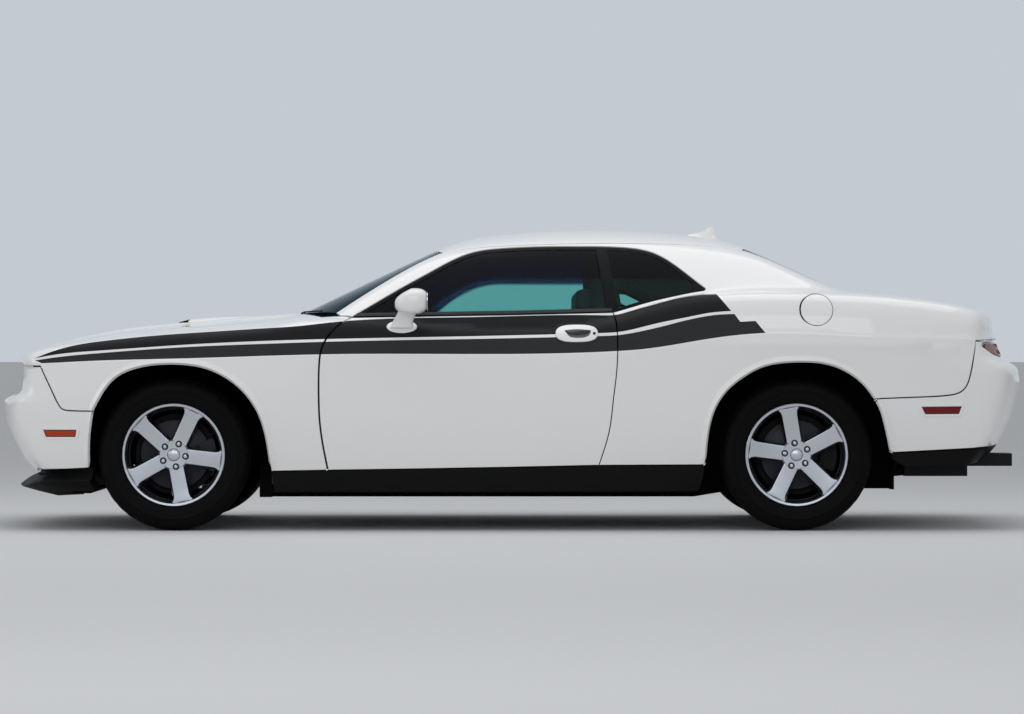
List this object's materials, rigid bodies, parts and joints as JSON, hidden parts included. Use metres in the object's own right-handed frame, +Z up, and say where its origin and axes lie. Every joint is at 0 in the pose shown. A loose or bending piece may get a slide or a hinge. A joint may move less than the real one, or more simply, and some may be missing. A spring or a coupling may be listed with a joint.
{
  "type": "muscle car",
  "caption": "Two-door muscle car with hinged doors, hood and decklid, steered front wheels and wheels that roll.",
  "frame": {"origin": "on the ground under the middle of the car", "axes": "+X to the rear, +Y to the car's right side, +Z up"},
  "size_m": [5.0219, 2.15, 1.4699],
  "materials": {
    "body_paint": "gloss white enamel with clear coat",
    "window_glass": "tinted safety glass",
    "tyre_rubber": "moulded black rubber",
    "wheel_alloy": "cast alloy, machined face",
    "chassis_steel": "black chassis paint",
    "black_plastic": "moulded black plastic",
    "interior_plastic": "grained black plastic",
    "lamp_glass": "clear lamp cover",
    "lamp_red": "red acrylic lens",
    "marker_lens": "orange acrylic lens",
    "seat_leather": "black leather",
    "engine_block": "bare casting"
  },
  "bodies": {
    "body": {"front_bumper": "body_paint", "fender_left": "body_paint", "fender_right": "body_paint", "quarter_left": "body_paint", "quarter_right": "body_paint", "rear_bumper": "body_paint", "roof": "body_paint", "windshield": "window_glass", "rear_window": "window_glass", "quarter_windows": "window_glass", "floor_pan": "chassis_steel", "front_structure": "chassis_steel", "engine": "engine_block", "grille": "black_plastic", "headlamps": "lamp_glass", "tail_lamps": "lamp_red", "side_markers": "marker_lens", "lower_trim": "black_plastic", "exhaust": "chassis_steel", "front_subframe": "chassis_steel", "rear_subframe": "chassis_steel", "dashboard": "interior_plastic", "seat_left": "seat_leather", "seat_right": "seat_leather", "rear_seat": "seat_leather"},
    "hood": {"hood": "body_paint"},
    "decklid": {"decklid": "body_paint"},
    "fuel_door": {"fuel_door": "body_paint"},
    "door_left": {"door_left": "body_paint", "door_glass_left": "window_glass", "mirror_left": "body_paint"},
    "door_right": {"door_right": "body_paint", "door_glass_right": "window_glass", "mirror_right": "body_paint"},
    "steering_left": {"knuckle_left": "chassis_steel"},
    "steering_right": {"knuckle_right": "chassis_steel"},
    "steering_wheel": {"steering_wheel": "interior_plastic"},
    "wheel_front_left": {"wheel_front_left": "wheel_alloy", "tyre_front_left": "tyre_rubber"},
    "wheel_front_right": {"wheel_front_right": "wheel_alloy", "tyre_front_right": "tyre_rubber"},
    "wheel_rear_left": {"wheel_rear_left": "wheel_alloy", "tyre_rear_left": "tyre_rubber"},
    "wheel_rear_right": {"wheel_rear_right": "wheel_alloy", "tyre_rear_right": "tyre_rubber"}
  },
  "joints": [
    {"name": "door_left_hinge", "type": "hinge", "parent": "body", "child": "door_left", "pos_m": [-0.888, -0.9245, 0.6], "axis": [0, 0, -1], "range_deg": [0, 66]},
    {"name": "door_right_hinge", "type": "hinge", "parent": "body", "child": "door_right", "pos_m": [-0.888, 0.9245, 0.6], "axis": [0, 0, 1], "range_deg": [0, 66]},
    {"name": "hood_hinge", "type": "hinge", "parent": "body", "child": "hood", "pos_m": [-0.892, 0, 1.014], "axis": [0, 1, 0], "range_deg": [0, 52]},
    {"name": "decklid_hinge", "type": "hinge", "parent": "body", "child": "decklid", "pos_m": [1.69, 0, 1.136], "axis": [0, -1, 0], "range_deg": [0, 78]},
    {"name": "fuel_door_hinge", "type": "hinge", "parent": "body", "child": "fuel_door", "pos_m": [1.376, -0.93133, 1.04552], "axis": [0, -0.2584, -0.966], "range_deg": [0, 85]},
    {"name": "steer_left", "type": "hinge", "parent": "body", "child": "steering_left", "pos_m": [-1.5955, -0.745, 0.358], "axis": [0, 0, 1], "range_deg": [-33, 33]},
    {"name": "steer_right", "type": "hinge", "parent": "body", "child": "steering_right", "pos_m": [-1.5955, 0.745, 0.358], "axis": [0, 0, 1], "range_deg": [-33, 33]},
    {"name": "steering_wheel_turn", "type": "hinge", "parent": "body", "child": "steering_wheel", "pos_m": [-0.501, -0.4, 0.916], "axis": [-0.9272, 0, -0.3746], "range_deg": [-540, 540]},
    {"name": "spin_front_left", "type": "hinge", "parent": "steering_left", "child": "wheel_front_left", "pos_m": [-1.5955, -0.8015, 0.358], "axis": [0, 1, 0], "continuous": true},
    {"name": "spin_front_right", "type": "hinge", "parent": "steering_right", "child": "wheel_front_right", "pos_m": [-1.5955, 0.8015, 0.358], "axis": [0, 1, 0], "continuous": true},
    {"name": "spin_rear_left", "type": "hinge", "parent": "body", "child": "wheel_rear_left", "pos_m": [1.3505, -0.8015, 0.358], "axis": [0, 1, 0], "continuous": true},
    {"name": "spin_rear_right", "type": "hinge", "parent": "body", "child": "wheel_rear_right", "pos_m": [1.3505, 0.8015, 0.358], "axis": [0, 1, 0], "continuous": true}
  ],
  "couplings": [
    {"joint": "steer_right", "follows": "steer_left", "ratio": 1}
  ]
}
